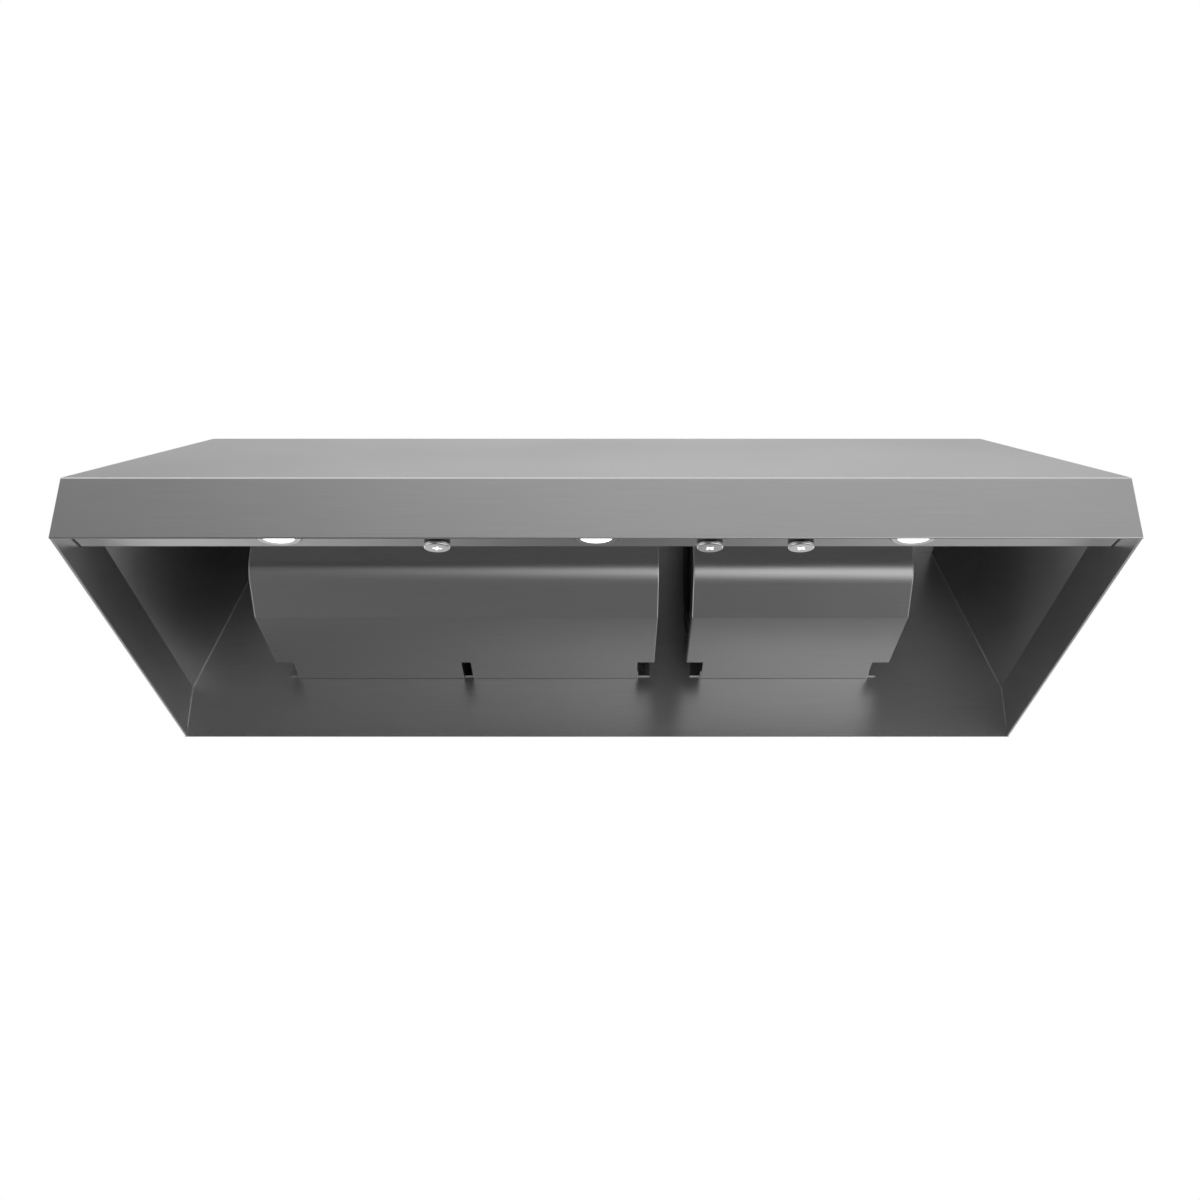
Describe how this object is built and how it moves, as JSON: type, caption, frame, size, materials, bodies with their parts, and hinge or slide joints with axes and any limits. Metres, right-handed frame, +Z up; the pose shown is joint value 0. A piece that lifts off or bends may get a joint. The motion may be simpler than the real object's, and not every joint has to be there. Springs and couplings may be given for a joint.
{
  "type": "under cabinet range hood",
  "caption": "Wide stainless under cabinet range hood: sloping canopy, lit control panel with knobs, drop-down blower covers, fans and duct collars with dampers.",
  "frame": {"origin": "in the plane of the canopy's rim, below the middle of its width and depth", "axes": "+Z up, the front faces -Y, +X to the right of someone who stands in front"},
  "size_m": [1.0668, 0.521, 0.303],
  "materials": {
    "stainless": "fine brushed, satin, grain along the width",
    "galvanised": "zinc coated sheet, dull spangle",
    "hook": "bright pressed sheet",
    "wheel": "zinc coated, thin blades",
    "damper": "mill finish",
    "shaft": "ground",
    "screw": "plain",
    "blower": "satin black paint on sheet steel",
    "motor": "black enamel",
    "driver": "moulded",
    "lamp_ring": "satin chrome",
    "lamp_lens": "opal diffuser, lit",
    "lamp_can": "cast heat sink",
    "knob": "polished edge, satin face",
    "knob_skirt": "black gloss",
    "mark": "white print",
    "switch_body": "moulded"
  },
  "bodies": {
    "hood": {"back_panel": "stainless", "collar_screws": "screw", "control_panel": "stainless", "cover_catches": "hook", "cover_hooks": "hook", "duct_collar_left": "galvanised", "duct_collar_middle": "galvanised", "duct_collar_right": "galvanised", "front_panel": "stainless", "inlet_ring_left": "blower", "inlet_ring_middle": "blower", "inlet_ring_right": "blower", "junction_box": "galvanised", "junction_lid": "galvanised", "knob_switch_left": "switch_body", "knob_switch_middle": "switch_body", "knob_switch_right": "switch_body", "lamp_can_left": "lamp_can", "lamp_can_middle": "lamp_can", "lamp_can_right": "lamp_can", "lamp_lens_left": "lamp_lens", "lamp_lens_middle": "lamp_lens", "lamp_lens_right": "lamp_lens", "lamp_ring_left": "lamp_ring", "lamp_ring_middle": "lamp_ring", "lamp_ring_right": "lamp_ring", "led_driver": "driver", "left_side_panel": "stainless", "motor_dual": "motor", "motor_hanger_dual": "galvanised", "motor_hanger_single": "galvanised", "motor_single": "motor", "mount_strips": "galvanised", "right_side_panel": "stainless", "scroll_left": "blower", "scroll_middle": "blower", "scroll_right": "blower", "top_panel": "stainless"},
    "knob_left_turning": {"knob_left": "knob", "knob_skirt_left": "knob_skirt", "knob_mark_left": "mark"},
    "knob_middle_turning": {"knob_middle": "knob", "knob_skirt_middle": "knob_skirt", "knob_mark_middle": "mark"},
    "knob_right_turning": {"knob_right": "knob", "knob_skirt_right": "knob_skirt", "knob_mark_right": "mark"},
    "rotor_dual": {"shaft_dual": "shaft", "wheel_left": "wheel", "wheel_middle": "wheel"},
    "rotor_single": {"shaft_single": "shaft", "wheel_right": "wheel"},
    "cover_dual": {"cover_dual": "stainless"},
    "cover_single": {"cover_single": "stainless"},
    "damper_front_left": {"damper_front_left": "damper"},
    "damper_rear_left": {"damper_rear_left": "damper"},
    "damper_front_middle": {"damper_front_middle": "damper"},
    "damper_rear_middle": {"damper_rear_middle": "damper"},
    "damper_front_right": {"damper_front_right": "damper"},
    "damper_rear_right": {"damper_rear_right": "damper"}
  },
  "joints": [
    {"name": "knob_left_turn", "type": "hinge", "parent": "hood", "child": "knob_left_turning", "pos_m": [-0.1607, -0.21331, 0.02807], "axis": [0, -0.1736, 0.9848], "range_deg": [0, 270]},
    {"name": "knob_middle_turn", "type": "hinge", "parent": "hood", "child": "knob_middle_turning", "pos_m": [0.115, -0.21331, 0.02807], "axis": [0, -0.1736, 0.9848], "range_deg": [0, 270]},
    {"name": "knob_right_turn", "type": "hinge", "parent": "hood", "child": "knob_right_turning", "pos_m": [0.207, -0.21331, 0.02807], "axis": [0, -0.1736, 0.9848], "range_deg": [0, 270]},
    {"name": "rotor_dual_spin", "type": "hinge", "parent": "hood", "child": "rotor_dual", "pos_m": [-0.17, 0.1395, 0.18], "axis": [-1, 0, 0], "continuous": true},
    {"name": "rotor_single_spin", "type": "hinge", "parent": "hood", "child": "rotor_single", "pos_m": [0.3223, 0.1395, 0.18], "axis": [-1, 0, 0], "continuous": true},
    {"name": "cover_dual_drop", "type": "hinge", "parent": "hood", "child": "cover_dual", "pos_m": [-0.17, 0.246, 0.0855], "axis": [1, 0, 0], "range_deg": [0, 78]},
    {"name": "cover_single_drop", "type": "hinge", "parent": "hood", "child": "cover_single", "pos_m": [0.24615, 0.246, 0.0855], "axis": [1, 0, 0], "range_deg": [0, 78]},
    {"name": "damper_front_left_open", "type": "hinge", "parent": "hood", "child": "damper_front_left", "pos_m": [-0.3371, 0.101, 0.291], "axis": [-1, 0, 0], "range_deg": [0, 75]},
    {"name": "damper_rear_left_open", "type": "hinge", "parent": "hood", "child": "damper_rear_left", "pos_m": [-0.3371, 0.101, 0.291], "axis": [1, 0, 0], "range_deg": [0, 75]},
    {"name": "damper_front_middle_open", "type": "hinge", "parent": "hood", "child": "damper_front_middle", "pos_m": [-0.0029, 0.101, 0.291], "axis": [-1, 0, 0], "range_deg": [0, 75]},
    {"name": "damper_rear_middle_open", "type": "hinge", "parent": "hood", "child": "damper_rear_middle", "pos_m": [-0.0029, 0.101, 0.291], "axis": [1, 0, 0], "range_deg": [0, 75]},
    {"name": "damper_front_right_open", "type": "hinge", "parent": "hood", "child": "damper_front_right", "pos_m": [0.1922, 0.101, 0.291], "axis": [-1, 0, 0], "range_deg": [0, 75]},
    {"name": "damper_rear_right_open", "type": "hinge", "parent": "hood", "child": "damper_rear_right", "pos_m": [0.1922, 0.101, 0.291], "axis": [1, 0, 0], "range_deg": [0, 75]}
  ]
}
